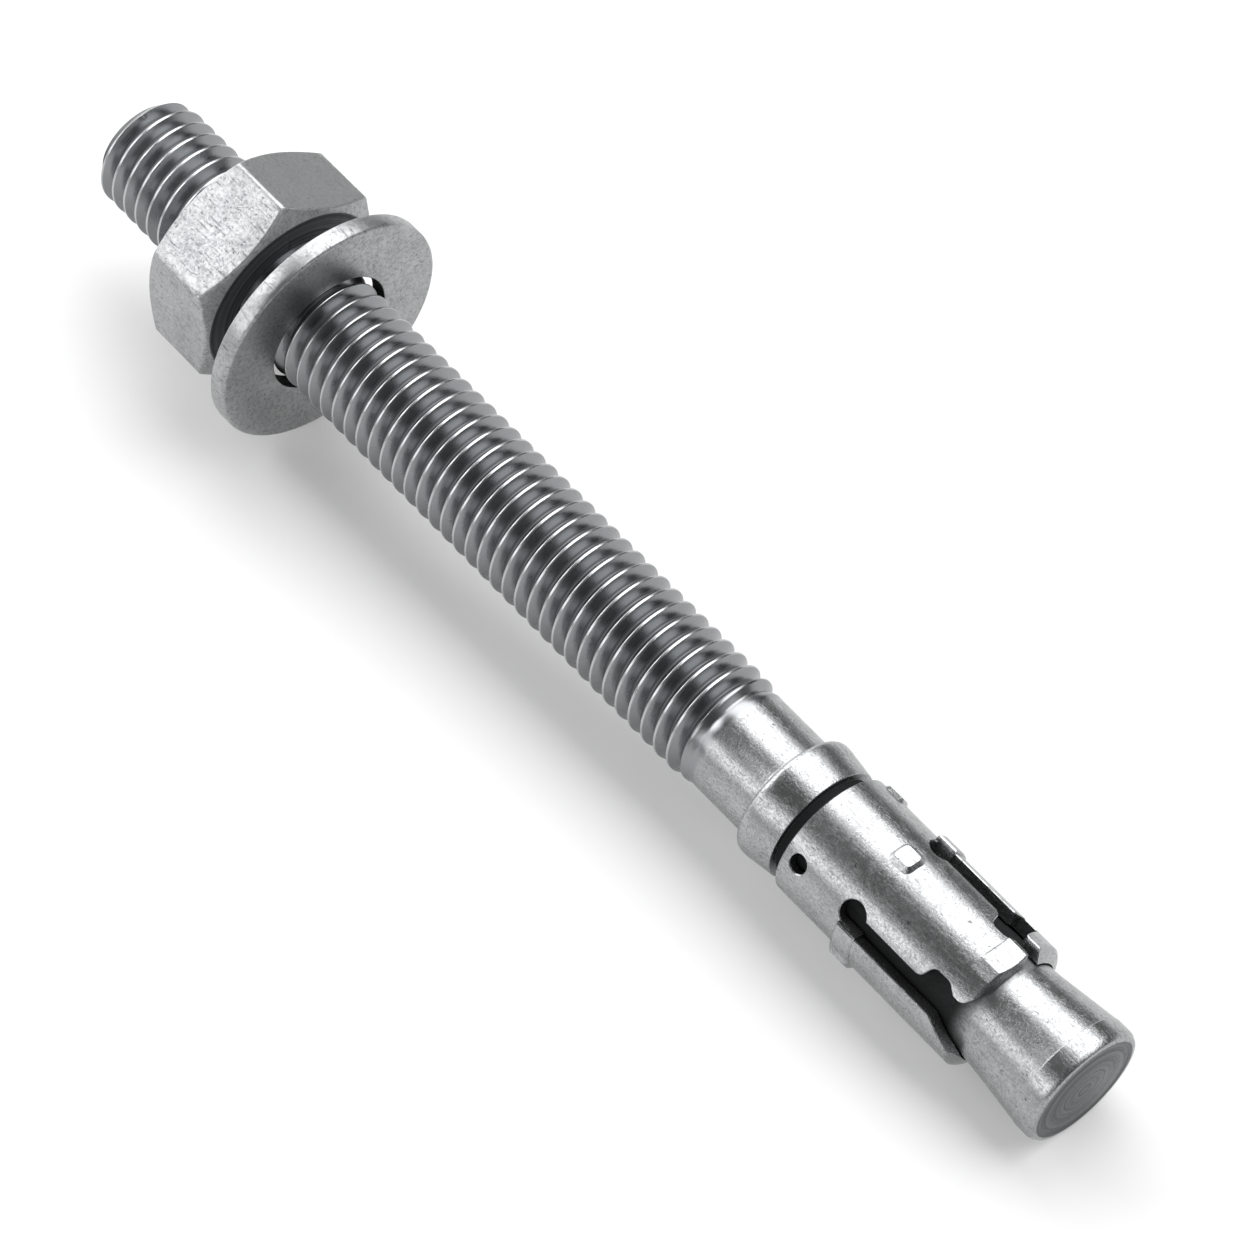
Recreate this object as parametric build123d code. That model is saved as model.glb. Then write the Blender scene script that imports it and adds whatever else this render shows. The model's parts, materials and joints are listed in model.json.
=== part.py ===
from build123d import *

import os
from math import asin, atan2, cos, degrees, hypot, radians, sin, tan

# A wedge anchor for a 12 mm hole in concrete, lying at rest on its washer and its expansion cone.
# Lengths are in mm and angles in degrees. Stations run along the anchor's axis from the washer's
# front face, positive toward the cone. Angles round the axis start at the top of the anchor and
# grow toward +Y. The screw thread itself is not cut: its stretch is the cylinder of its crests.

# Threaded stretch and shank of the bolt
THREAD_R = 5.0
THREAD_START = -24.65
THREAD_CHAMFER = 1.0
THREAD_END = 47.2
RUN_OUT_END = 49.2
SHANK_R = 4.63

# Collar that drives the clip into the hole: a rounded shoulder, a short band and a long taper
COLLAR_FOOT = 55.3
COLLAR_RISE = 0.75
COLLAR_BAND = 0.45
COLLAR_TAPER = 2.6
COLLAR_R = 5.57
COLLAR_FRONT_R = 5.22
COLLAR_BREAK = 0.12

# Neck, straight expansion cone, and the land behind its end face
NECK_LENGTH = 20.6
NECK_R = 4.55
CONE_LENGTH = 6.3
CONE_END_R = 5.3
LAND_LENGTH = 1.45
LAND_R = 5.35
TIP_BREAK = (0.43, 5.1)  # distance past the land, and radius
TIP_LENGTH = 0.5
TIP_FACE_R = 4.74
TIP_RING_R = 4.3
TIP_RING_WIDTH = 0.3
TIP_RING_DEPTH = 0.06

# Washer
WASHER_R = 10.75
WASHER_HOLE_CLEARANCE = 0.56
WASHER_THICKNESS = 1.6
WASHER_RIM_ROUND = 0.35  # on the front, where the punch rolled the edge
WASHER_RIM_BREAK = 0.15  # on the back

# Hexagon nut
NUT_ACROSS_FLATS = 17.0
NUT_HEIGHT = 7.7
NUT_GAP = 3.45  # from the nut's bearing face to the back of the washer
NUT_CORNER_ANGLE = 1.5
NUT_FACE_R = 8.08
NUT_CHAMFER_ANGLE = 30.0
NUT_BORE_CLEARANCE = 0.05
NUT_COUNTERSINK_R = 5.5

# Expansion clip, rolled from sheet with its seam underneath. Its own stations start at its rear edge.
SHEET = 0.8
CLIP_CLEARANCE = 0.17  # radial, on the neck
CLIP_GAP = 1.0  # from the collar's front to the clip's rear edge
SEAM_ANGLE = 167.0
SEAM_HALF = 7.0
EDGE_BREAK = 0.08
FRONT_BREAK = 0.18
PILOT_HOLE = (1.5, -61.0, 0.8)  # station, angle and radius
LEFT_KEYHOLE = (7.4, -58.5, 1.22)
RIGHT_KEYHOLE = (8.0, 42.5, 1.2)
LEFT_SLOT_ANGLE = -63.5
LEFT_SLOT_HALF = 0.85
RIGHT_SLOT_ANGLE = 42.5
RIGHT_SLOT_HALF = 0.72

# The upper leg is flush with the sleeve and the two side legs stand proud of it. The front end of
# each leg is given as the stations of its outer and inner edge.
LEG_PROUD = 0.265
UPPER_LEG_FRONT = (18.9, 19.15)
LEFT_LEG_FRONT = (19.15, 19.65)
RIGHT_LEG_FRONT = (18.9, 19.4)
SIDE_LEG_ROOT = 6.7
SIDE_LEG_LAP = 0.8  # length over which the sleeve runs on into the side legs
KNUCKLE_LENGTH = 1.9
KNUCKLE_BREAK = 0.12
LEFT_KNUCKLE = (-102.0, -70.3, 0.14)  # start and end angle, and rise above the leg
RIGHT_KNUCKLE = (48.6, 85.0, 0.235)

# Corners of the legs' cut edges from the straight of the slot to the front, as stations and
# distances from the slot's middle, positive toward growing angles, and how far they are rounded
UPPER_LEG_LEFT = [
    (14.4, LEFT_SLOT_HALF), (14.95, 2.2), (16.6, 2.2), (17.4, 1.62), (18.25, 1.62), (19.1, 3.0), (19.25, 4.4)
]
UPPER_LEG_RIGHT = [
    (14.7, -RIGHT_SLOT_HALF), (15.2, -2.2), (16.6, -2.2), (17.2, -1.75), (19.05, -1.75), (19.25, -4.4)
]
UPPER_LEG_CORNER = 0.68
LEFT_LEG_RIGHT = [(16.7, -LEFT_SLOT_HALF), (19.4, -2.8), (20.1, -4.8)]
RIGHT_LEG_LEFT = [(15.1, RIGHT_SLOT_HALF), (15.4, 2.1), (16.9, 2.1), (17.35, -0.78), (19.8, -0.78)]
SIDE_LEG_CORNER = 0.4

# Marks pressed outward in the sheet, as station, angle and rise above the sheet there
SLEEVE_NIBS = [(7.35, 5.2, 0.35), (1.6, 65.0, 0.23)]
LEG_NIBS = [(7.4, -115.0, 0.35), (7.4, 125.0, 0.35)]
NIB_LENGTH = 1.6
NIB_WIDTH = 1.45
NIB_CORNER = 0.3
NIB_FLANK = 42.0
NIB_ROOT = 0.25

# Flats coined on the front of the upper leg, as the middle angle and half the angle each one spans
FLATS = [(6.0, 14.5), (-14.3, 5.7)]
FLATS_START = 16.9

# Values that follow from the ones above
CLIP_INNER_R = NECK_R + CLIP_CLEARANCE
SLEEVE_R = CLIP_INNER_R + SHEET
LEG_R = SLEEVE_R + LEG_PROUD
COLLAR_RIDGE = COLLAR_FOOT + COLLAR_RISE + COLLAR_BAND
COLLAR_FRONT = COLLAR_RIDGE + COLLAR_TAPER
CONE_START = COLLAR_FRONT + NECK_LENGTH
LAND_START = CONE_START + CONE_LENGTH
LAND_END = LAND_START + LAND_LENGTH
CLIP_REAR = COLLAR_FRONT + CLIP_GAP
SEAM_LEFT = SEAM_ANGLE + SEAM_HALF - 360
SEAM_RIGHT = SEAM_ANGLE - SEAM_HALF
NUT_BEARING = -WASHER_THICKNESS - NUT_GAP

# Working values of the cuts: their reach beyond the part, and how closely an edge is matched
REACH = 20.0
CUT_SIDE = 4.0
CUT_AHEAD = 1.0
TOUCH = 0.005

TURN_AXIS = Axis((0, 0, 0), (-1, 0, 0))


def at_angle(shape, angle):
    """Shape made at the top of the anchor, turned round the axis to its own angle."""
    return Rot(-angle, 0, 0) * shape


def sector(outline, start=0, end=360):
    """Solid that a (station, radius) outline sweeps round the axis from one angle to another."""
    face = make_face(Plane.XZ * Polyline(*outline, close=True))
    return at_angle(revolve(face, axis=TURN_AXIS, revolution_arc=end - start), start)


def side_plane(angle, radius=0):
    """Plane seen from outside at an angle: x along the axis, y toward growing angles."""
    outward = Vector(0, sin(radians(angle)), cos(radians(angle)))
    return Plane(origin=outward * radius, x_dir=(1, 0, 0), z_dir=outward)


def punch(outline, angle):
    """Prism that a closed outline cuts through one side of the clip."""
    return extrude(side_plane(angle) * make_face(outline), amount=REACH)


def round_hole(station, angle, radius):
    return punch(Pos(station, 0) * Edge.make_circle(radius), angle)


def outside_edges(shape, radius, left_out=()):
    """Edges along the outside surface of the given radius, but for the rings at some stations."""

    def is_wanted(edge):
        lies_outside = all(hypot((edge @ t).Y, (edge @ t).Z) > radius - TOUCH for t in (0, 0.5, 1))
        return lies_outside and all(abs(edge.center().X - station) > TOUCH for station in left_out)

    return shape.edges().filter_by(is_wanted)


def make_bolt():
    collar_top = COLLAR_FOOT + COLLAR_RISE
    tip_face = LAND_END + TIP_LENGTH
    stud = Polyline(
        (THREAD_START, 0),
        (THREAD_START, THREAD_R - THREAD_CHAMFER),
        (THREAD_START + THREAD_CHAMFER, THREAD_R),
        (THREAD_END, THREAD_R),
        (RUN_OUT_END, SHANK_R),
        (COLLAR_FOOT, SHANK_R),
    )
    shoulder = Spline((COLLAR_FOOT, SHANK_R), (collar_top, COLLAR_R), tangents=[(0.35, 1), (1, 0)])
    collar = Polyline(
        (collar_top, COLLAR_R),
        (COLLAR_RIDGE, COLLAR_R),
        (COLLAR_FRONT - COLLAR_BREAK, COLLAR_FRONT_R),
        (COLLAR_FRONT, COLLAR_FRONT_R - COLLAR_BREAK),
        (COLLAR_FRONT, NECK_R),
        (CONE_START, NECK_R),
    )
    cone = Polyline(
        (CONE_START, NECK_R),
        (LAND_START, CONE_END_R),
        (LAND_START, LAND_R),
        (LAND_END, LAND_R),
        (LAND_END + TIP_BREAK[0], TIP_BREAK[1]),
        (tip_face, TIP_FACE_R),
        (tip_face, TIP_RING_R + TIP_RING_WIDTH / 2),
        (tip_face - TIP_RING_DEPTH, TIP_RING_R),
        (tip_face, TIP_RING_R - TIP_RING_WIDTH / 2),
        (tip_face, 0),
        (THREAD_START, 0),
    )
    return revolve(make_face(Plane.XZ * (stud + shoulder + collar + cone)), axis=TURN_AXIS)


def rims_of(washer):
    """Circles along the washer's outside, from the back to the front."""
    return outside_edges(washer, WASHER_R).filter_by(GeomType.CIRCLE).sort_by(Axis.X)


def make_washer():
    hole_r = THREAD_R + WASHER_HOLE_CLEARANCE
    back = -WASHER_THICKNESS
    ring = sector([(back, hole_r), (0, hole_r), (0, WASHER_R), (back, WASHER_R)])
    ring = fillet(rims_of(ring)[-1], WASHER_RIM_ROUND)
    return chamfer(rims_of(ring)[0], WASHER_RIM_BREAK)


def make_nut():
    flat_r = NUT_ACROSS_FLATS / 2
    hexagon = Plane.YZ * RegularPolygon(flat_r, 6, major_radius=False, rotation=30)
    prism = at_angle(extrude(hexagon, amount=NUT_HEIGHT), NUT_CORNER_ANGLE)
    beyond = flat_r / cos(radians(30)) + 1
    drop = (beyond - NUT_FACE_R) * tan(radians(NUT_CHAMFER_ANGLE))
    bore_r = THREAD_R + NUT_BORE_CLEARANCE
    sink = NUT_COUNTERSINK_R - bore_r
    envelope = sector(
        [
            (0, NUT_COUNTERSINK_R),
            (0, NUT_FACE_R),
            (drop, beyond),
            (NUT_HEIGHT - drop, beyond),
            (NUT_HEIGHT, NUT_FACE_R),
            (NUT_HEIGHT, NUT_COUNTERSINK_R),
            (NUT_HEIGHT - sink, bore_r),
            (sink, bore_r),
        ]
    )
    return Pos(NUT_BEARING - NUT_HEIGHT, 0, 0) * (prism & envelope)


def leg_blank(root, front, outer_r, start, end):
    """One leg before its edges are cut: curved sheet with a sloped front and its edge broken."""
    outline = [
        (root, CLIP_INNER_R),
        (root, outer_r),
        (front[0] - FRONT_BREAK, outer_r),
        (front[0], outer_r - FRONT_BREAK),
        (front[1], CLIP_INNER_R),
    ]
    return sector(outline, start, end)


def slot_side(start, side, corners, rounding, angle):
    """Prism of all that lies past a leg's cut edge, on the given side of it."""
    back = (start, corners[0][1])
    front = corners[-1]
    far = side * CUT_SIDE
    beyond = front[0] + CUT_AHEAD
    edge = FilletPolyline(back, *corners, radius=rounding)
    return punch(edge + Polyline(front, (beyond, front[1]), (beyond, far), (start, far), back), angle)


def make_upper_leg():
    """Leg between the two slots, its front shoulders waisted and rounded."""
    leg = leg_blank(0, UPPER_LEG_FRONT, SLEEVE_R, LEFT_SLOT_ANGLE - 10, RIGHT_SLOT_ANGLE + 10)
    leg -= slot_side(LEFT_KEYHOLE[0], -1, UPPER_LEG_LEFT, UPPER_LEG_CORNER, LEFT_SLOT_ANGLE)
    return leg - slot_side(RIGHT_KEYHOLE[0], 1, UPPER_LEG_RIGHT, UPPER_LEG_CORNER, RIGHT_SLOT_ANGLE)


def make_sleeve():
    """Rear ring of the clip with the upper leg, its three holes and its broken edges."""
    lap = SIDE_LEG_ROOT + SIDE_LEG_LAP
    outline = [(0, CLIP_INNER_R), (0, SLEEVE_R), (lap, SLEEVE_R), (lap, CLIP_INNER_R)]
    sleeve = sector(outline, SEAM_LEFT, SEAM_RIGHT) + make_upper_leg()
    for hole in (PILOT_HOLE, LEFT_KEYHOLE, RIGHT_KEYHOLE):
        sleeve -= round_hole(*hole)
    front = UPPER_LEG_FRONT[0] - FRONT_BREAK
    return chamfer(outside_edges(sleeve.clean(), SLEEVE_R, (lap, front)), EDGE_BREAK)


def make_knuckle(start, end, rise):
    """Raised band across the root of a side leg."""
    front = SIDE_LEG_ROOT + KNUCKLE_LENGTH
    outer_r = LEG_R + rise
    outline = [(SIDE_LEG_ROOT, CLIP_INNER_R), (SIDE_LEG_ROOT, outer_r), (front, outer_r), (front, CLIP_INNER_R)]
    band = sector(outline, start, end)
    return chamfer(outside_edges(band, outer_r), KNUCKLE_BREAK)


def make_left_leg():
    """Side leg whose corner toward the upper leg is cut back."""
    leg = leg_blank(SIDE_LEG_ROOT, LEFT_LEG_FRONT, LEG_R, SEAM_LEFT, LEFT_SLOT_ANGLE + 10)
    leg -= slot_side(SIDE_LEG_ROOT - 1, 1, LEFT_LEG_RIGHT, SIDE_LEG_CORNER, LEFT_SLOT_ANGLE)
    edges = outside_edges(leg, LEG_R, [LEFT_LEG_FRONT[0] - FRONT_BREAK])
    return chamfer(edges, EDGE_BREAK) + make_knuckle(*LEFT_KNUCKLE)


def make_right_leg():
    """Side leg with a waist and a tab that reaches round toward the upper leg."""
    leg = leg_blank(SIDE_LEG_ROOT, RIGHT_LEG_FRONT, LEG_R, RIGHT_SLOT_ANGLE - 10, SEAM_RIGHT)
    leg -= slot_side(SIDE_LEG_ROOT - 1, -1, RIGHT_LEG_LEFT, SIDE_LEG_CORNER, RIGHT_SLOT_ANGLE)
    edges = outside_edges(leg, LEG_R, [RIGHT_LEG_FRONT[0] - FRONT_BREAK])
    return chamfer(edges, EDGE_BREAK) + make_knuckle(*RIGHT_KNUCKLE)


def make_nib(station, angle, radius, rise):
    """Square mark with sloped flanks, standing on the sheet's outside surface."""
    top = side_plane(angle, radius + rise) * Pos(station, 0)
    face = top * RectangleRounded(NIB_LENGTH, NIB_WIDTH, NIB_CORNER)
    return extrude(face, amount=-(rise + NIB_ROOT), taper=-NIB_FLANK)


def make_flat(angle, half_angle):
    """Block above one of the flats on the upper leg's front."""
    plane = side_plane(angle, SLEEVE_R * cos(radians(half_angle)))
    face = plane * Pos(FLATS_START, 0) * Rectangle(REACH, REACH, align=(Align.MIN, Align.CENTER))
    return extrude(face, amount=CUT_SIDE)


def make_clip():
    clip = make_sleeve()
    for angle, half_angle in FLATS:
        clip -= make_flat(angle, half_angle)
    clip += make_left_leg() + make_right_leg()
    for station, angle, rise in SLEEVE_NIBS:
        clip += make_nib(station, angle, SLEEVE_R, rise)
    for station, angle, rise in LEG_NIBS:
        clip += make_nib(station, angle, LEG_R, rise)
    return Pos(CLIP_REAR, 0, 0) * clip


def rest_tilt():
    """Slope of the anchor when its washer's rim and the land of its cone touch the ground."""
    rim_centre_r = WASHER_R - WASHER_RIM_ROUND
    run = LAND_END + WASHER_RIM_ROUND
    fall = rim_centre_r - LAND_R
    return degrees(atan2(fall, run) + asin(WASHER_RIM_ROUND / hypot(fall, run)))


def main():
    parts = {
        "anchor_bolt": make_bolt(),
        "expansion_clip": make_clip(),
        "washer": make_washer(),
        "hex_nut": make_nut(),
    }
    tilted = {name: Rot(0, rest_tilt(), 0) * part for name, part in parts.items()}
    box = Compound(list(tilted.values())).bounding_box()
    to_ground = Pos(-box.center().X, 0, -box.min.Z)
    os.makedirs("parts", exist_ok=True)
    for name, part in tilted.items():
        export_step(to_ground * part, f"parts/{name}.step")


if __name__ == "__main__":
    main()
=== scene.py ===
import json
from math import atan2, cos, hypot, pi, radians, sin, sqrt, tan

import bmesh
import bpy
from bpy.props import FloatProperty, FloatVectorProperty, PointerProperty
from mathutils import Matrix, Vector


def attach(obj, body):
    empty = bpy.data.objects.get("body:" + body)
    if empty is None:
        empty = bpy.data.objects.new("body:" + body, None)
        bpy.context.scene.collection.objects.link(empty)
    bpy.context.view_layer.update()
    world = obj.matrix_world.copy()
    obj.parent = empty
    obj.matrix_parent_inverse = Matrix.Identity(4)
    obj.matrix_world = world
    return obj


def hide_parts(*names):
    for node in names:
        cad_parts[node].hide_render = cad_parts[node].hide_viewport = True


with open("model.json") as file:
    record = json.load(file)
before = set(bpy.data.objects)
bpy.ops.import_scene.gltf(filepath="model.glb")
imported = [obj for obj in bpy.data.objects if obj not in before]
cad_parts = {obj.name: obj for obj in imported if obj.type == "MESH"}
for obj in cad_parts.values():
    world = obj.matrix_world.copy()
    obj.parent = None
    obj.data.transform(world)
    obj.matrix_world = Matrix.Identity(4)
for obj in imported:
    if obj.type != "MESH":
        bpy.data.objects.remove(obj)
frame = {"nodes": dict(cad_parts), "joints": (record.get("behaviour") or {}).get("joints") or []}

bl_info = {
    "name": "Wedge anchor",
    "version": (1, 0, 0),
    "blender": (4, 5, 0),
    "location": "3D View > Sidebar > Wedge anchor",
    "description": "Threaded bolt, washer, nut and zinc finish of a wedge anchor",
    "category": "Add Mesh",
}

MM = 0.001

# The anchor's own frame: x runs along its axis from the washer's front face toward the cone,
# y runs across and z up. Stations are distances along x, as in the part's source.
CLIP_REAR = 60.1 * MM
JOINTS = {joint["name"]: joint for joint in frame["joints"]}
AXIS = Vector(JOINTS["clip_turn"]["axis"]).normalized()
WASHER_FACE = Vector(JOINTS["clip_turn"]["pos_m"]) - CLIP_REAR * AXIS
ACROSS = Vector((0, 1, 0))
TURN = Matrix((AXIS, ACROSS, AXIS.cross(ACROSS))).transposed()
PLACE = Matrix.Translation(WASHER_FACE) @ TURN.to_4x4()

MERGE = 1e-7
SMOOTH_ANGLE = radians(32)
TURN_STEPS = 72
NUT_STEPS = 480
WASHER_STEPS = 128
NUT_CHAMFER_CUTS = 16
NUT_SIDE_CUTS = 5
CORNER_CUTS = 3
LEAD_TURNS = 3
BRIDGE = 0.3 * MM


def length(name, description, millimetres):
    return FloatProperty(
        name=name, description=description, default=millimetres * MM, unit="LENGTH", precision=5
    )


def angle(name, description, degrees):
    return FloatProperty(
        name=name, description=description, default=radians(degrees), subtype="ANGLE"
    )


def amount(name, description, value):
    return FloatProperty(name=name, description=description, default=value)


def colour(name, description, value):
    return FloatVectorProperty(
        name=name, description=description, default=value, subtype="COLOR", size=3, min=0, max=1
    )


class ThreadSizes(bpy.types.PropertyGroup):
    """Sizes of the metric screw thread"""

    pitch: length("Pitch", "Distance from crest to crest", 1.5)
    crest_r: length("Crest radius", "Radius of the thread's crests", 5.0)
    crest_flat: length("Crest flat", "Width of a crest", 0.19)
    crest_round: length("Crest rounding", "Length cut back at a crest's corners", 0.05)
    root_round: length("Root rounding", "Length of flank taken by the rounded root", 0.375)
    start: length("Start", "Station of the bolt's free end face", -24.65)
    chamfer: length("Chamfer", "Length of the chamfer at the free end", 1.0)
    crest_station: length("Crest station", "Station of a crest at the top of the bolt", -22.3)
    fade_start: length("Fade start", "Station where the thread starts to fade", 47.3)
    fade_end: length("Fade end", "Station where the thread has run out", 49.7)


class BoltSizes(bpy.types.PropertyGroup):
    """Sizes of the bolt's shank, collar, neck and cone"""

    shank_start: length("Shank start", "Station where the plain shank starts", 50.0)
    shank_r: length("Shank radius", "Radius of the plain shank", 4.63)
    collar_foot: length("Collar foot", "Station where the collar rises", 55.3)
    collar_r: length("Collar radius", "Largest radius of the collar", 5.57)
    collar_front: length("Collar front", "Station of the collar's front face", 59.1)
    collar_front_r: length("Collar front radius", "Radius at the collar's front face", 5.22)
    neck_r: length("Neck radius", "Radius of the neck under the clip", 4.55)
    cone_start: length("Cone start", "Station where the cone starts", 79.7)
    land_r: length("Land radius", "Radius of the land in front of the cone", 5.35)
    tip: length("Tip", "Station of the front end face", 87.95)


class WasherSizes(bpy.types.PropertyGroup):
    """Sizes of the washer"""

    radius: length("Radius", "Outside radius", 10.75)
    hole_r: length("Hole radius", "Radius of the hole", 5.56)
    thickness: length("Thickness", "Thickness of the washer", 1.6)
    rim_round: length("Rim rounding", "Rounding of the front outside edge", 0.35)
    back_round: length("Back rounding", "Rounding of the back outside edge", 0.14)
    hole_round: length("Hole rounding", "Rounding of the hole's edges", 0.15)


class NutSizes(bpy.types.PropertyGroup):
    """Sizes of the hexagon nut"""

    across_flats: length("Across flats", "Distance between two opposite faces", 17.0)
    height: length("Height", "Height of the nut", 7.7)
    bearing: length("Bearing face", "Station of the face toward the washer", -5.05)
    corner_angle: angle("Corner angle", "Angle of the uppermost corner from the top", 1.5)
    face_r: length("Face radius", "Radius of the flat ring on each end", 8.08)
    chamfer_angle: angle("Chamfer angle", "Slope of the chamfers on both ends", 30)
    groove_r: length("Groove radius", "Radius of the inside thread's grooves", 5.06)
    ridge_r: length("Ridge radius", "Radius of the inside thread's ridges", 4.3)
    thread_gap: length("Thread gap", "Gap along the axis beside the bolt's thread", 0.04)
    countersink_r: length("Countersink radius", "Radius of the countersink", 5.5)
    edge_round: length("Edge rounding", "Width of the blend; a quarter of it comes off", 0.2)


class ZincFinish(bpy.types.PropertyGroup):
    """Colours and surface of the zinc plating, with painted shade and a painted highlight"""

    pale: colour("Pale zinc", "Colour of the plating", (0.41, 0.415, 0.42))
    dark: colour("Dark zinc", "Colour of the plating's darker grain", (0.15, 0.156, 0.162))
    pit: colour("Pits", "Colour of small pits and specks", (0.05, 0.053, 0.056))
    rolled: colour("Rolled zinc", "Colour of the smooth thread", (0.255, 0.262, 0.27))
    # Painted shade: near-black colour laid on the bolt's front end face and on the nut's bearing
    # face, countersinks and bore; the turned rings on them are real lathe marks.
    bare: colour("Turned face painted shade", "Darker colour of the turned faces", (0.07, 0.072, 0.075))
    # Painted highlight: paler colour laid on the thread's crests.
    crest_painted_highlight: colour("Crest painted highlight", "Colour of the thread's crests", (0.44, 0.447, 0.455))
    # Painted shade: near-black colour laid on the neck under the clip, the thread's roots and
    # the washer's hole.
    deep: colour("Recess painted shade", "Colour of the neck, roots and holes", (0.03, 0.031, 0.032))
    roughness: amount("Roughness", "Roughness of the plating", 0.27)
    relief: amount("Relief", "Strength of the grain's relief", 0.17)


class StudioSettings(bpy.types.PropertyGroup):
    """Camera, floor and lights"""

    azimuth: angle("Camera azimuth", "Direction of the view, 0 looking along +Y", 49.6)
    elevation: angle("Camera elevation", "Height of the view above the floor", 53.62)
    distance: length("Camera distance", "Distance from the aim to the camera", 398.1)
    lens: amount("Lens", "Focal length in millimetres on a 36 mm sensor", 143.54)
    floor: colour("Floor", "Colour of the floor", (0.56, 0.56, 0.56))
    floor_glow: amount("Floor glow", "Light given off by the floor, which lightens shadows", 0.2)
    key_watts: amount("Top light", "Power of the long light above", 8.4)
    side_watts: amount("Side light", "Power of the long light at the side", 2.2)
    nut_watts: amount("Nut light", "Power of the small light over the nut", 0.058)
    sides: amount("Sides", "Brightness of the room elsewhere", 0.10)
    rear: amount("Rear", "Brightness of the room behind the anchor's free end", 3.0)


CAMERA_AIM = Vector((-1.875, 5.781, -3.145)) * MM
FLOOR_RADIUS = 3.0
FIBRE_TONE = 0.985
NUT_BEHIND = 9 * MM
NUT_LIGHT_WAY = Vector((-0.45, -0.46, 0.76))
NUT_LIGHT_DISTANCE = 150 * MM
NUT_LIGHT_SIDE = 70 * MM
BEHIND = (0.66, 0.82)


class Shade:
    """A shader value: its operators add the Math nodes that work the value out."""

    def __init__(self, maker, socket):
        self.maker = maker
        self.socket = socket

    def math(self, operation, *others):
        return self.maker.math(operation, self, *others)

    def __add__(self, other):
        return self.math("ADD", other)

    __radd__ = __add__

    def __sub__(self, other):
        return self.math("SUBTRACT", other)

    def __rsub__(self, other):
        return self.maker.math("SUBTRACT", other, self)

    def __mul__(self, other):
        return self.math("MULTIPLY", other)

    __rmul__ = __mul__

    def __abs__(self):
        return self.math("ABSOLUTE")

    def step(self, low, high):
        """0 below low, 1 above high, and smooth between; high may be the smaller one."""
        settings = {"interpolation_type": "SMOOTHSTEP"}
        values = {"Value": self, "From Min": low, "From Max": high}
        return self.maker.value("ShaderNodeMapRange", settings, values, "Result")


class Maker:
    """Builds the nodes of one material or of the room around the anchor."""

    def __init__(self, owner):
        owner.use_nodes = True
        self.owner = owner
        self.tree = owner.node_tree

    def node(self, kind, settings, values):
        """Adds a node: its settings are set first, and then its sockets take values or links."""
        node = self.tree.nodes.new(kind)
        for name, value in settings.items():
            setattr(node, name, value)
        for name, value in values.items():
            self.feed(node.inputs[name], value)
        return node

    def feed(self, socket, value):
        if isinstance(value, Shade):
            value = value.socket
        if isinstance(value, bpy.types.NodeSocket):
            self.tree.links.new(value, socket)
        else:
            socket.default_value = value

    def value(self, kind, settings, values, output):
        return Shade(self, self.node(kind, settings, values).outputs[output])

    def math(self, operation, *values):
        return self.value(
            "ShaderNodeMath", {"operation": operation}, dict(enumerate(values)), "Value"
        )

    def mix(self, factor, first, second):
        """Colour between two colours."""
        values = {"Factor": factor, 6: first, 7: second}
        node = self.node("ShaderNodeMix", {"data_type": "RGBA"}, values)
        return node.outputs[2]

    def noise(self, place, size, detail=2.0, roughness=0.5, distortion=0.0):
        """Cloudy pattern of about the given feature size in metres."""
        values = {
            "Vector": place,
            "Scale": 1 / size,
            "Detail": detail,
            "Roughness": roughness,
            "Distortion": distortion,
        }
        return self.value("ShaderNodeTexNoise", {}, values, "Fac")


def rgba(value):
    return (*value, 1.0)


def anchor_place(maker):
    """Object coordinates turned into the anchor's own frame."""
    place = maker.node("ShaderNodeTexCoord", {}, {}).outputs["Object"]
    values = {"Vector": place, "Location": WASHER_FACE, "Rotation": TURN.to_euler()}
    return maker.node("ShaderNodeMapping", {"vector_type": "TEXTURE"}, values).outputs[0]


def stretched(maker, place, turn, stretch):
    """Coordinates in which a pattern is drawn out along one direction."""
    values = {"Vector": place, "Rotation": turn, "Scale": (1 / stretch, 1, 1)}
    return maker.node("ShaderNodeMapping", {"vector_type": "POINT"}, values).outputs[0]


# Turns of the coordinates along which the strokes are drawn out, and how far.
STROKES = (
    (0.3, 0.5, 0.9),
    (1.1, -0.4, -0.5),
    (0.2, 1.9, 2.2),
    (2.0, 0.9, 0.1),
    (-0.7, 1.2, 1.5),
)
STROKE_STRETCH = 8

# Feature sizes of the noises in the plating.
CLOUD = 3.0 * MM
GRAIN = 0.2 * MM
PITS = 0.3 * MM
STROKE_WIDTH = 0.14 * MM
CURL = 0.9 * MM
CURL_PIECE = 0.6 * MM
CURL_LINES = 11.0
RINGS = 0.35 * MM
BUMP_HEIGHT = 0.1 * MM

# Noise values between which each mark comes in.
RANGES = {
    "grain": (0.36, 0.70),
    "cloud": (0.35, 0.68),
    "pits": (0.69, 0.75),
    "strokes": (0.68, 0.75),
    "curl lines": (0.12, 0.02),
    "curl pieces": (0.42, 0.56),
    "rings": (0.42, 0.58),
}

# How much each mark darkens the plating, roughens it, and raises or lowers it.
TONE = {"grain": 0.4, "cloud": 0.15, "marks": 0.5, "hairs": 0.42, "pits": 0.75}
ROUGH = {"grain": 0.25, "cloud": 0.1, "hairs": 0.12, "bare": 0.15, "deep": 0.5}
HEIGHT = {"grain": 0.8, "cloud": 0.5, "marks": 0.4, "hairs": 0.36, "pits": 0.6, "rings": 1.2}


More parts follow.
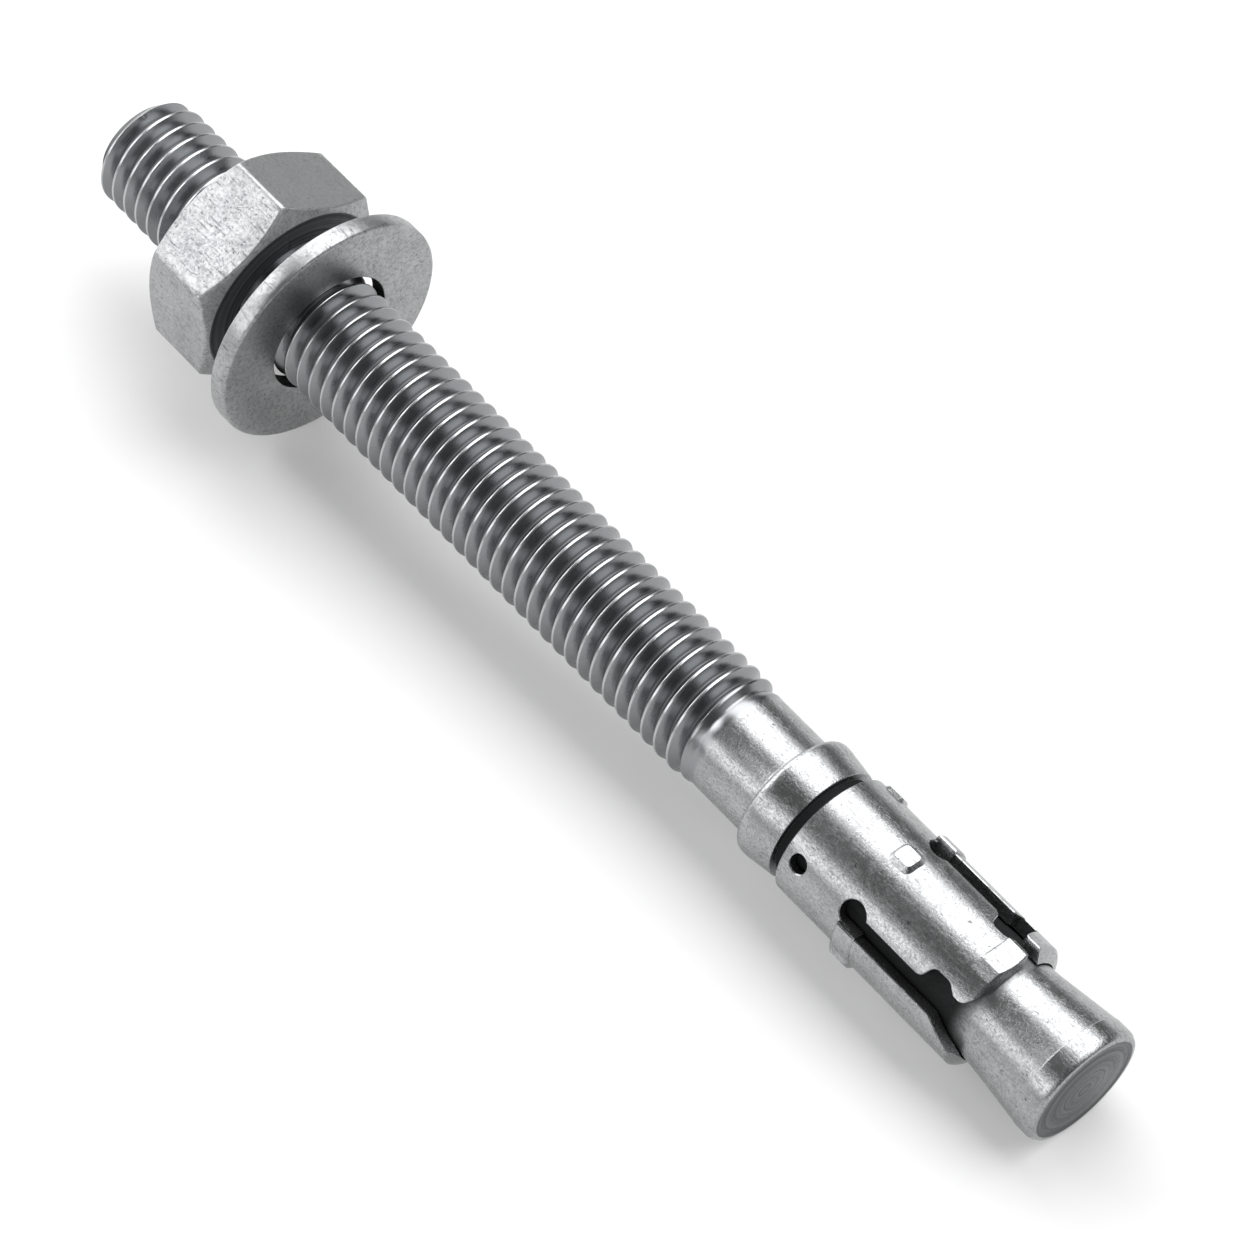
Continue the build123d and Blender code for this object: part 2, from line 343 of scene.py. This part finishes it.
def scratches(maker, place, scale):
    """Short thin strokes in several directions."""
    total = 0
    for turn in STROKES:
        drawn_out = stretched(maker, place, turn, STROKE_STRETCH)
        field = maker.noise(drawn_out, STROKE_WIDTH * scale, 1.0)
        total = field.step(*RANGES["strokes"]) + total
    return total.math("MINIMUM", 1.0)


def curls(maker, place, scale):
    """Fine curved marks, like the outlines of crystals in the plating."""
    field = maker.noise(place, CURL * scale, 3.0, 0.55, 0.8)
    ripple = (field * CURL_LINES).math("FRACT")
    broken = maker.noise(place, CURL_PIECE * scale, 1.0).step(*RANGES["curl pieces"])
    return abs(ripple - 0.5).step(*RANGES["curl lines"]) * broken


def distances(maker, place):
    """Station along the axis and radius from it."""
    parts = maker.node("ShaderNodeSeparateXYZ", {}, {"Vector": place}).outputs
    y = Shade(maker, parts["Y"])
    z = Shade(maker, parts["Z"])
    return Shade(maker, parts["X"]), (y * y + z * z).math("SQRT")


def rings(maker, radius):
    """Fine turned rings round the axis."""
    row = maker.node("ShaderNodeCombineXYZ", {}, {"X": radius}).outputs[0]
    return maker.noise(row, RINGS, 3.0, 0.7)


def zinc(name, finish, rough=1.0, scale=1.0, **masks):
    """Zinc plating with grain, fine curved marks, hairlines and dark pits, and painted light.

    Each mask tells from station and radius where the surface differs: "rolled" where it is
    smooth; the others say where turned faces get painted shade, where the crests get a painted
    highlight and where the neck, roots and holes get painted shade."""
    maker = Maker(bpy.data.materials.new(name))
    place = anchor_place(maker)
    station, radius = distances(maker, place)
    where = {key: mask(station, radius) for key, mask in masks.items()}
    rolled = where.get("rolled", 0.0)
    bare = where.get("bare", 0.0)
    keep = maker.math("SUBTRACT", 1.0, rolled)
    cloud = maker.noise(place, CLOUD, 2.0)
    grain = maker.noise(place, GRAIN * scale, 3.0, 0.6, 0.6)
    marks = curls(maker, place, scale) * keep
    hairs = scratches(maker, place, scale) * keep
    pits = maker.noise(place, PITS, 2.0).step(*RANGES["pits"]) * keep
    turned = rings(maker, radius)

    tone = grain.step(*RANGES["grain"]) * keep * TONE["grain"]
    tone = tone + cloud.step(*RANGES["cloud"]) * TONE["cloud"]
    tone = tone + marks * TONE["marks"] + hairs * TONE["hairs"]
    base = maker.mix(tone.math("MINIMUM", 1.0), rgba(finish.pale), rgba(finish.dark))
    base = maker.mix(rolled, base, rgba(finish.rolled))
    base = maker.mix(pits * TONE["pits"], base, rgba(finish.pit))
    # Turned rings, drawn between the dark grain colour and the painted shade colour, on the
    # faces that get painted shade.
    lathe_marks = turned.step(*RANGES["rings"])
    lathe_marks = maker.mix(lathe_marks, rgba(finish.dark), rgba(finish.bare))
    base = maker.mix(bare, base, lathe_marks)

    level = (grain - 0.5) * ROUGH["grain"] * keep + (cloud - 0.5) * ROUGH["cloud"]
    level = level + hairs * ROUGH["hairs"] + finish.roughness * rough
    level = level + maker.math("MULTIPLY", bare, ROUGH["bare"])
    # Painted highlight: the thread's crests are made paler.
    if "crest_painted_highlight" in where:
        base = maker.mix(where["crest_painted_highlight"], base, rgba(finish.crest_painted_highlight))
    # Painted shade: the neck under the clip, the thread's roots and the washer's hole are
    # darkened toward near-black and roughened.
    if "deep" in where:
        base = maker.mix(where["deep"], base, rgba(finish.deep))
        level = level + where["deep"] * ROUGH["deep"]

    height = (grain - 0.5) * keep * HEIGHT["grain"] + cloud * HEIGHT["cloud"] * keep
    height = height - marks * HEIGHT["marks"] - hairs * HEIGHT["hairs"]
    height = height - pits * HEIGHT["pits"] + turned * bare * HEIGHT["rings"]
    values = {"Strength": finish.relief, "Distance": BUMP_HEIGHT, "Height": height}
    bump = maker.node("ShaderNodeBump", {}, values)

    surface = maker.tree.nodes["Principled BSDF"]
    surface.inputs["Metallic"].default_value = 1.0
    maker.feed(surface.inputs["Base Color"], base)
    maker.feed(surface.inputs["Roughness"], level)
    maker.feed(surface.inputs["Normal"], bump.outputs[0])
    return maker.owner


def chain(bm, points):
    """Edges through (station, radius) points above the axis, with the named corners rounded.

    A third value on a point is the length that its rounding takes from both edges."""
    vertices = [bm.verts.new((point[0], 0, point[1])) for point in points]
    edges = [bm.edges.new(pair) for pair in zip(vertices, vertices[1:])]
    if points[0][:2] == points[-1][:2]:
        bmesh.ops.remove_doubles(bm, verts=vertices, dist=MERGE)
    rounded = [(v, point[2]) for v, point in zip(vertices, points) if len(point) > 2]
    for vertex, cut in [corner for corner in rounded if corner[0].is_valid]:
        bmesh.ops.bevel(
            bm, geom=[vertex], offset=cut, offset_type="OFFSET", segments=CORNER_CUTS,
            profile=0.5, affect="VERTICES", clamp_overlap=False, material=-1,
        )
    return [edge for edge in bm.edges if not edge.link_faces]


def ends(edges):
    """The vertices of some edges, each once and always in the same order."""
    return list(dict.fromkeys(vertex for edge in edges for vertex in edge.verts))


def spin_round(bm, edges, steps):
    """Sweeps a chain of edges once round the axis."""
    bmesh.ops.spin(
        bm, geom=ends(edges) + edges, cent=(0, 0, 0), axis=(1, 0, 0), angle=2 * pi,
        steps=steps, use_merge=True, use_duplicate=False,
    )
    bmesh.ops.remove_doubles(bm, verts=bm.verts, dist=MERGE)


def join(bm, other):
    """Moves all of another bmesh into this one."""
    scrap = bpy.data.meshes.new("scrap")
    other.to_mesh(scrap)
    other.free()
    bm.from_mesh(scrap)
    bpy.data.meshes.remove(scrap)


def finished(name, bm, material, body, slot, *replaced):
    """Object made from a bmesh in the anchor's frame, put in its place and given to its body."""
    bmesh.ops.recalc_face_normals(bm, faces=bm.faces)
    bmesh.ops.transform(bm, matrix=PLACE, verts=bm.verts)
    for face in bm.faces:
        face.smooth = True
    for edge in bm.edges:
        edge.smooth = edge.is_manifold and edge.calc_face_angle() < SMOOTH_ANGLE
    mesh = bpy.data.meshes.new(name)
    bm.to_mesh(mesh)
    bm.free()
    mesh.materials.append(material)
    piece = bpy.data.objects.new(name, mesh)
    bpy.context.scene.collection.objects.link(piece)
    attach(piece, body)
    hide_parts(*replaced)


def thread_outline(bm, sizes, crest_station):
    """One pitch of the bolt's thread, from crest to crest, in the plane above the axis."""
    half_flat = sizes.crest_flat / 2
    sharp_root_r = sizes.crest_r - (sizes.pitch / 2 - half_flat) * sqrt(3)
    points = [
        (crest_station, sizes.crest_r),
        (crest_station + half_flat, sizes.crest_r, sizes.crest_round),
        (crest_station + sizes.pitch / 2, sharp_root_r, sizes.root_round),
        (crest_station + sizes.pitch - half_flat, sizes.crest_r, sizes.crest_round),
        (crest_station + sizes.pitch, sizes.crest_r),
    ]
    return chain(bm, points)


def wind(bm, edges, pitch, turns):
    """Sweeps a chain of edges along a right-hand helix and joins each turn to the next."""
    bmesh.ops.spin(
        bm, geom=ends(edges) + edges, cent=(0, 0, 0), axis=(1, 0, 0),
        dvec=(pitch / TURN_STEPS, 0, 0), angle=2 * pi, steps=TURN_STEPS,
    )
    first_turn = bm.verts[:] + bm.edges[:] + bm.faces[:]
    for turn in range(1, turns):
        copy = bmesh.ops.duplicate(bm, geom=first_turn)["geom"]
        moved = [part for part in copy if isinstance(part, bmesh.types.BMVert)]
        bmesh.ops.translate(bm, vec=(turn * pitch, 0, 0), verts=moved)
    bmesh.ops.remove_doubles(bm, verts=bm.verts, dist=MERGE * 10)


def set_radii(bm, radius_at):
    """Moves each vertex straight out or in to the radius that a function gives."""
    for vertex in bm.verts:
        across = hypot(vertex.co.y, vertex.co.z)
        factor = radius_at(vertex.co.x, across) / across
        vertex.co.y *= factor
        vertex.co.z *= factor


def cut_square(bm, station, keep_front):
    """Cuts a mesh square to the axis and keeps one side."""
    bmesh.ops.bisect_plane(
        bm, geom=bm.verts[:] + bm.edges[:] + bm.faces[:], dist=MERGE, plane_co=(station, 0, 0),
        plane_no=(1, 0, 0), clear_inner=keep_front, clear_outer=not keep_front,
    )


def rim(bm, station):
    """Open edges at a station."""
    middle = [(e, (e.verts[0].co.x + e.verts[1].co.x) / 2) for e in bm.edges if e.is_boundary]
    return [edge for edge, x in middle if abs(x - station) < 0.01 * MM]


def add_thread(bm, thread, bolt):
    """The wound thread, chamfered at the free end and fading into the shank at the other."""
    first = thread.crest_station - LEAD_TURNS * thread.pitch
    turns = int((bolt.shank_start - first) / thread.pitch) + 2
    wind(bm, thread_outline(bm, thread, first), thread.pitch, turns)

    def radius_at(station, radius):
        chamfer_r = thread.crest_r - thread.chamfer + station - thread.start
        fade = (station - thread.fade_start) / (thread.fade_end - thread.fade_start)
        fade = min(max(fade, 0), 1)
        fade = fade * fade * (3 - 2 * fade)
        return min(radius + (bolt.shank_r - radius) * fade, chamfer_r)

    set_radii(bm, radius_at)
    cut_square(bm, thread.start, True)
    cut_square(bm, bolt.shank_start, False)
    bmesh.ops.contextual_create(bm, geom=rim(bm, thread.start))


def bolt_outline(bolt):
    """Shank, collar, neck, cone and tip as (station, radius, rounding) points."""
    collar = [
        (bolt.shank_start + BRIDGE, bolt.shank_r),
        (bolt.collar_foot, bolt.shank_r, 0.12 * MM),
        (bolt.collar_foot + 0.35 * MM, bolt.collar_r, 0.4 * MM),
        (bolt.collar_front - 2.6 * MM, bolt.collar_r, 0.15 * MM),
        (bolt.collar_front, bolt.collar_front_r, 0.12 * MM),
    ]
    neck_and_cone = [
        (bolt.collar_front, bolt.neck_r, 0.1 * MM),
        (bolt.cone_start, bolt.neck_r, 1.2 * MM),
        (bolt.tip - 1.95 * MM, bolt.land_r - 0.05 * MM, 0.02 * MM),
    ]
    land = [
        (bolt.tip - 1.9 * MM, bolt.land_r, 0.04 * MM),
        (bolt.tip - 0.5 * MM, bolt.land_r, 0.15 * MM),
        (bolt.tip - 0.07 * MM, bolt.land_r - 0.25 * MM, 0.1 * MM),
        (bolt.tip, bolt.land_r - 0.61 * MM, 0.06 * MM),
    ]
    pressed_ring = [
        (bolt.tip, bolt.land_r - 0.9 * MM),
        (bolt.tip - 0.06 * MM, bolt.land_r - 1.05 * MM),
        (bolt.tip, bolt.land_r - 1.2 * MM),
    ]
    return collar + neck_and_cone + land + pressed_ring + [(bolt.tip, 0)]


class ANCHOR_OT_bolt(bpy.types.Operator):
    """Builds the threaded bolt with its collar, neck and cone"""

    bl_idname = "anchor.bolt"
    bl_label = "Build the bolt"

    def execute(self, context):
        settings = context.scene
        thread = settings.anchor_thread
        bolt = settings.anchor_bolt
        bm = bmesh.new()
        add_thread(bm, thread, bolt)
        front = bmesh.new()
        spin_round(front, chain(front, bolt_outline(bolt)), TURN_STEPS)
        join(bm, front)
        loops = rim(bm, bolt.shank_start) + rim(bm, bolt.shank_start + BRIDGE)
        bmesh.ops.bridge_loops(bm, edges=loops)

        root_r = thread.crest_r - 0.93 * MM

        def rolled(station, radius):
            return station.step(bolt.shank_start + 0.2 * MM, bolt.shank_start - 0.4 * MM)

        # Painted shade on the bolt's front end face, where the turned rings also show.
        def bare(station, radius):
            inner = radius.step(bolt.land_r - 0.5 * MM, bolt.land_r - 0.7 * MM)
            return station.step(bolt.tip - 0.12 * MM, bolt.tip - 0.08 * MM) * inner

        # Painted highlight along the thread's crests.
        def crest_painted_highlight(station, radius):
            crests = radius.step(thread.crest_r - 0.06 * MM, thread.crest_r - 0.01 * MM)
            return crests * rolled(station, radius)

        # Painted shade on the neck under the clip and, at half strength, in the thread's roots.
        def deep(station, radius):
            neck = radius.step(bolt.neck_r + 0.1 * MM, bolt.neck_r + 0.02 * MM)
            neck = neck * station.step(bolt.collar_front - 0.1 * MM, bolt.collar_front)
            neck = neck * station.step(bolt.cone_start + 0.5 * MM, bolt.cone_start - 2 * MM)
            roots = radius.step(root_r + 0.2 * MM, root_r + 0.02 * MM) * rolled(station, radius)
            return neck.math("MAXIMUM", roots * 0.5)

        masks = {"rolled": rolled, "bare": bare, "crest_painted_highlight": crest_painted_highlight, "deep": deep}
        material = zinc("zinc_bolt_finish", settings.anchor_finish, **masks)
        finished("threaded_bolt", bm, material, "stud", "zinc_bolt", "anchor_bolt")
        return {"FINISHED"}


class ANCHOR_OT_washer(bpy.types.Operator):
    """Builds the washer"""

    bl_idname = "anchor.washer"
    bl_label = "Build the washer"

    def execute(self, context):
        sizes = context.scene.anchor_washer
        back = -sizes.thickness
        bm = bmesh.new()
        edges = chain(
            bm,
            [
                (back / 2, sizes.hole_r),
                (back, sizes.hole_r, sizes.hole_round),
                (back, sizes.radius, sizes.back_round),
                (0, sizes.radius, sizes.rim_round),
                (0, sizes.hole_r, sizes.hole_round),
                (back / 2, sizes.hole_r),
            ],
        )
        spin_round(bm, edges, WASHER_STEPS)

        # Painted shade on the wall of the washer's hole.
        def deep(station, radius):
            return radius.step(sizes.hole_r + 0.12 * MM, sizes.hole_r + 0.02 * MM)

        finish = context.scene.anchor_finish
        material = zinc("zinc_washer_finish", finish, rough=1.3, scale=1.7, deep=deep)
        finished("flat_washer", bm, material, "washer", "zinc_washer", "washer")
        return {"FINISHED"}


def nut_thread_outline(bm, thread, nut, crest_station):
    """One pitch of the nut's inside thread, which leaves a gap along the bolt's flanks."""
    groove = thread.crest_flat / 2 + nut.thread_gap
    flank = groove + (nut.groove_r - nut.ridge_r) / sqrt(3)
    points = [
        (crest_station, nut.groove_r),
        (crest_station + groove, nut.groove_r),
        (crest_station + flank, nut.ridge_r),
        (crest_station + thread.pitch - flank, nut.ridge_r),
        (crest_station + thread.pitch - groove, nut.groove_r),
        (crest_station + thread.pitch, nut.groove_r),
    ]
    return chain(bm, points)


def blend_down(first, second, width):
    """The smaller of two values, with the corner between them rounded."""
    overlap = max(width - abs(first - second), 0) / width
    return min(first, second) - overlap * overlap * width / 4


def add_nut_bore(bm, thread, nut):
    """The nut's inside thread, countersunk at both ends."""
    rear = nut.bearing - nut.height
    before = int((thread.crest_station - rear) / thread.pitch) + 2
    first = thread.crest_station - before * thread.pitch
    turns = int((nut.bearing - first) / thread.pitch) + 2
    wind(bm, nut_thread_outline(bm, thread, nut, first), thread.pitch, turns)

    def radius_at(station, radius):
        return max(radius, nut.countersink_r - min(station - rear, nut.bearing - station))

    cut_square(bm, rear, True)
    cut_square(bm, nut.bearing, False)
    set_radii(bm, radius_at)


def add_nut_outside(bm, nut):
    """End faces, chamfers and six flats: a turned outline pressed in to the hexagon."""
    rear = nut.bearing - nut.height
    corner_r = nut.across_flats / 2 / cos(radians(30))
    drop = (corner_r - nut.face_r) * tan(nut.chamfer_angle)
    outline = chain(
        bm,
        [
            (nut.bearing, nut.countersink_r),
            (nut.bearing, nut.face_r),
            (nut.bearing - drop, corner_r),
            (rear + drop, corner_r),
            (rear, nut.face_r),
            (rear, nut.countersink_r),
        ],
    )
    sloped = [edge for edge in outline if abs(edge.verts[0].co.z - edge.verts[1].co.z) > MERGE]
    sides = [edge for edge in outline if edge not in sloped]
    chamfers = [e for e in sloped if abs(e.verts[0].co.x - e.verts[1].co.x) > MERGE]
    bmesh.ops.subdivide_edges(bm, edges=chamfers, cuts=NUT_CHAMFER_CUTS)
    bmesh.ops.subdivide_edges(bm, edges=sides, cuts=NUT_SIDE_CUTS)
    spin_round(bm, bm.edges[:], NUT_STEPS)
    for vertex in bm.verts:
        turned = atan2(vertex.co.y, vertex.co.z) - nut.corner_angle
        past_corner = turned % radians(60)
        hexagon_r, *others = [
            nut.across_flats / 2 / cos(past_corner - radians(side)) for side in (30, -30, 90)
        ]
        for flat in others:
            hexagon_r = blend_down(hexagon_r, flat, nut.edge_round)
        across = hypot(vertex.co.y, vertex.co.z)
        factor = blend_down(across, hexagon_r, nut.edge_round) / across
        vertex.co.y *= factor
        vertex.co.z *= factor


class ANCHOR_OT_nut(bpy.types.Operator):
    """Builds the hexagon nut with its inside thread"""

    bl_idname = "anchor.nut"
    bl_label = "Build the nut"

    def execute(self, context):
        nut = context.scene.anchor_nut
        bm = bmesh.new()
        add_nut_outside(bm, nut)
        bore = bmesh.new()
        add_nut_bore(bore, context.scene.anchor_thread, nut)
        join(bm, bore)
        for station in (nut.bearing, nut.bearing - nut.height):
            bmesh.ops.bridge_loops(bm, edges=rim(bm, station))

        # Painted shade on the nut's bearing face, countersinks and bore.
        def bare(station, radius):
            inside = radius.step(nut.countersink_r + 0.2 * MM, nut.countersink_r)
            face = station.step(nut.bearing - 0.05 * MM, nut.bearing - 0.01 * MM)
            return face.math("MAXIMUM", inside)

        finish = context.scene.anchor_finish
        material = zinc("zinc_nut_finish", finish, rough=1.5, scale=1.4, bare=bare)
        finished("threaded_nut", bm, material, "nut", "zinc_nut", "hex_nut")
        return {"FINISHED"}


class ANCHOR_OT_clip(bpy.types.Operator):
    """Gives the expansion clip its zinc finish"""

    bl_idname = "anchor.clip"
    bl_label = "Finish the clip"

    def execute(self, context):
        node = frame["nodes"]["expansion_clip"]
        material = zinc("zinc_clip_finish", context.scene.anchor_finish)
        node.material_slots[0].material = material
        return {"FINISHED"}


def aim(place, target):
    """Matrix of a light or camera at a place, looking at a target with its top up."""
    turn = (target - place).to_track_quat("-Z", "Y")
    return Matrix.Translation(place) @ turn.to_matrix().to_4x4()


def add_light(name, place, target, size, watts):
    lamp = bpy.data.lights.new(name, "AREA")
    lamp.shape = "RECTANGLE"
    lamp.size, lamp.size_y = size
    lamp.energy = watts
    light = bpy.data.objects.new(name, lamp)
    light.matrix_world = aim(place, target)
    bpy.context.scene.collection.objects.link(light)
    return light


def add_strip(name, tilt, distance, width, span, watts):
    """Long light beside the anchor, parallel to x, at a tilt from straight above toward +Y."""
    place = Vector((0, sin(tilt), cos(tilt))) * distance
    light = add_light(name, place, Vector((0, 0, 0)), (span, width), watts)
    rotation = Matrix.Rotation(-tilt, 4, "X")
    light.matrix_world = Matrix.Translation(place) @ rotation
    return light


def room(studio):
    """Surroundings: dim all round and bright behind the anchor's free end."""
    maker = Maker(bpy.data.worlds.new("room"))
    direction = maker.node("ShaderNodeTexCoord", {}, {}).outputs["Generated"]
    parts = maker.node("ShaderNodeSeparateXYZ", {}, {"Vector": direction}).outputs
    behind = (Shade(maker, parts["X"]) * -1).step(*BEHIND)
    strength = behind * (studio.rear - studio.sides) + studio.sides
    background = maker.tree.nodes["Background"]
    background.inputs["Color"].default_value = (1, 1, 1, 1)
    maker.feed(background.inputs["Strength"], strength)
    return maker.owner


def add_floor(studio):
    """Round pale floor that gives off a little light."""
    bm = bmesh.new()
    bmesh.ops.create_circle(bm, cap_ends=True, segments=64, radius=FLOOR_RADIUS)
    mesh = bpy.data.meshes.new("floor")
    bm.to_mesh(mesh)
    bm.free()
    maker = Maker(bpy.data.materials.new("floor_paper"))
    place = maker.node("ShaderNodeTexCoord", {}, {}).outputs["Object"]
    fibre = maker.noise(place, 2 * MM, 3.0)
    darker = tuple(part * FIBRE_TONE for part in studio.floor)
    tone = maker.mix(fibre, rgba(studio.floor), rgba(darker))
    surface = maker.tree.nodes["Principled BSDF"]
    maker.feed(surface.inputs["Base Color"], tone)
    surface.inputs["Roughness"].default_value = 0.9
    surface.inputs["Specular IOR Level"].default_value = 0.1
    surface.inputs["Emission Color"].default_value = (1, 1, 1, 1)
    surface.inputs["Emission Strength"].default_value = studio.floor_glow
    mesh.materials.append(maker.owner)
    floor = bpy.data.objects.new("floor", mesh)
    bpy.context.scene.collection.objects.link(floor)


def add_lights(studio):
    """Two long soft lights and a small one over the nut."""
    add_strip("top_light", radians(28), 0.6, 0.52, 1.3, studio.key_watts)
    add_strip("side_light", radians(-65), 0.6, 0.28, 1.1, studio.side_watts)
    nut_middle = WASHER_FACE - NUT_BEHIND * AXIS
    place = nut_middle + NUT_LIGHT_WAY * NUT_LIGHT_DISTANCE
    size = (NUT_LIGHT_SIDE, NUT_LIGHT_SIDE)
    add_light("nut_light", place, nut_middle, size, studio.nut_watts)


def add_camera(studio):
    """Camera that looks at the anchor from the studio's azimuth and elevation."""
    view = bpy.data.cameras.new("camera")
    view.lens = studio.lens
    view.sensor_width = 36
    view.clip_start = 0.01
    view.clip_end = 20
    across = cos(studio.elevation)
    back = Vector(
        (sin(studio.azimuth) * across, -cos(studio.azimuth) * across, sin(studio.elevation))
    )
    camera = bpy.data.objects.new("camera", view)
    camera.matrix_world = aim(CAMERA_AIM + back * studio.distance, CAMERA_AIM)
    bpy.context.scene.collection.objects.link(camera)
    bpy.context.scene.camera = camera


class ANCHOR_OT_studio(bpy.types.Operator):
    """Builds the floor, the lights and the camera"""

    bl_idname = "anchor.studio"
    bl_label = "Build the studio"

    def execute(self, context):
        scene = context.scene
        add_floor(scene.anchor_studio)
        add_lights(scene.anchor_studio)
        scene.world = room(scene.anchor_studio)
        add_camera(scene.anchor_studio)
        scene.view_settings.view_transform = "Standard"
        return {"FINISHED"}


class ANCHOR_PT_panel(bpy.types.Panel):
    """Lists the operators and sizes of the wedge anchor"""

    bl_idname = "ANCHOR_PT_panel"
    bl_label = "Wedge anchor"
    bl_space_type = "VIEW_3D"
    bl_region_type = "UI"
    bl_category = "Wedge anchor"

    def draw(self, context):
        for operator in OPERATORS:
            self.layout.operator(operator.bl_idname)
        for name in GROUPS:
            box = self.layout.box()
            group = getattr(context.scene, name)
            for key in group.bl_rna.properties.keys():
                if key not in ("rna_type", "name"):
                    box.prop(group, key)


GROUPS = {
    "anchor_thread": ThreadSizes,
    "anchor_bolt": BoltSizes,
    "anchor_washer": WasherSizes,
    "anchor_nut": NutSizes,
    "anchor_finish": ZincFinish,
    "anchor_studio": StudioSettings,
}
OPERATORS = [
    ANCHOR_OT_bolt,
    ANCHOR_OT_washer,
    ANCHOR_OT_nut,
    ANCHOR_OT_clip,
    ANCHOR_OT_studio,
]


def register():
    for group in GROUPS.values():
        bpy.utils.register_class(group)
    for operator in OPERATORS:
        bpy.utils.register_class(operator)
    bpy.utils.register_class(ANCHOR_PT_panel)
    for name, group in GROUPS.items():
        setattr(bpy.types.Scene, name, PointerProperty(type=group))


def unregister():
    for name in GROUPS:
        delattr(bpy.types.Scene, name)
    bpy.utils.unregister_class(ANCHOR_PT_panel)
    for operator in reversed(OPERATORS):
        bpy.utils.unregister_class(operator)
    for group in reversed(GROUPS.values()):
        bpy.utils.unregister_class(group)


def main():
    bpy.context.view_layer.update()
    register()
    bpy.ops.anchor.bolt()
    bpy.ops.anchor.washer()
    bpy.ops.anchor.nut()
    bpy.ops.anchor.clip()
    bpy.ops.anchor.studio()


if __name__ == "__main__":
    main()
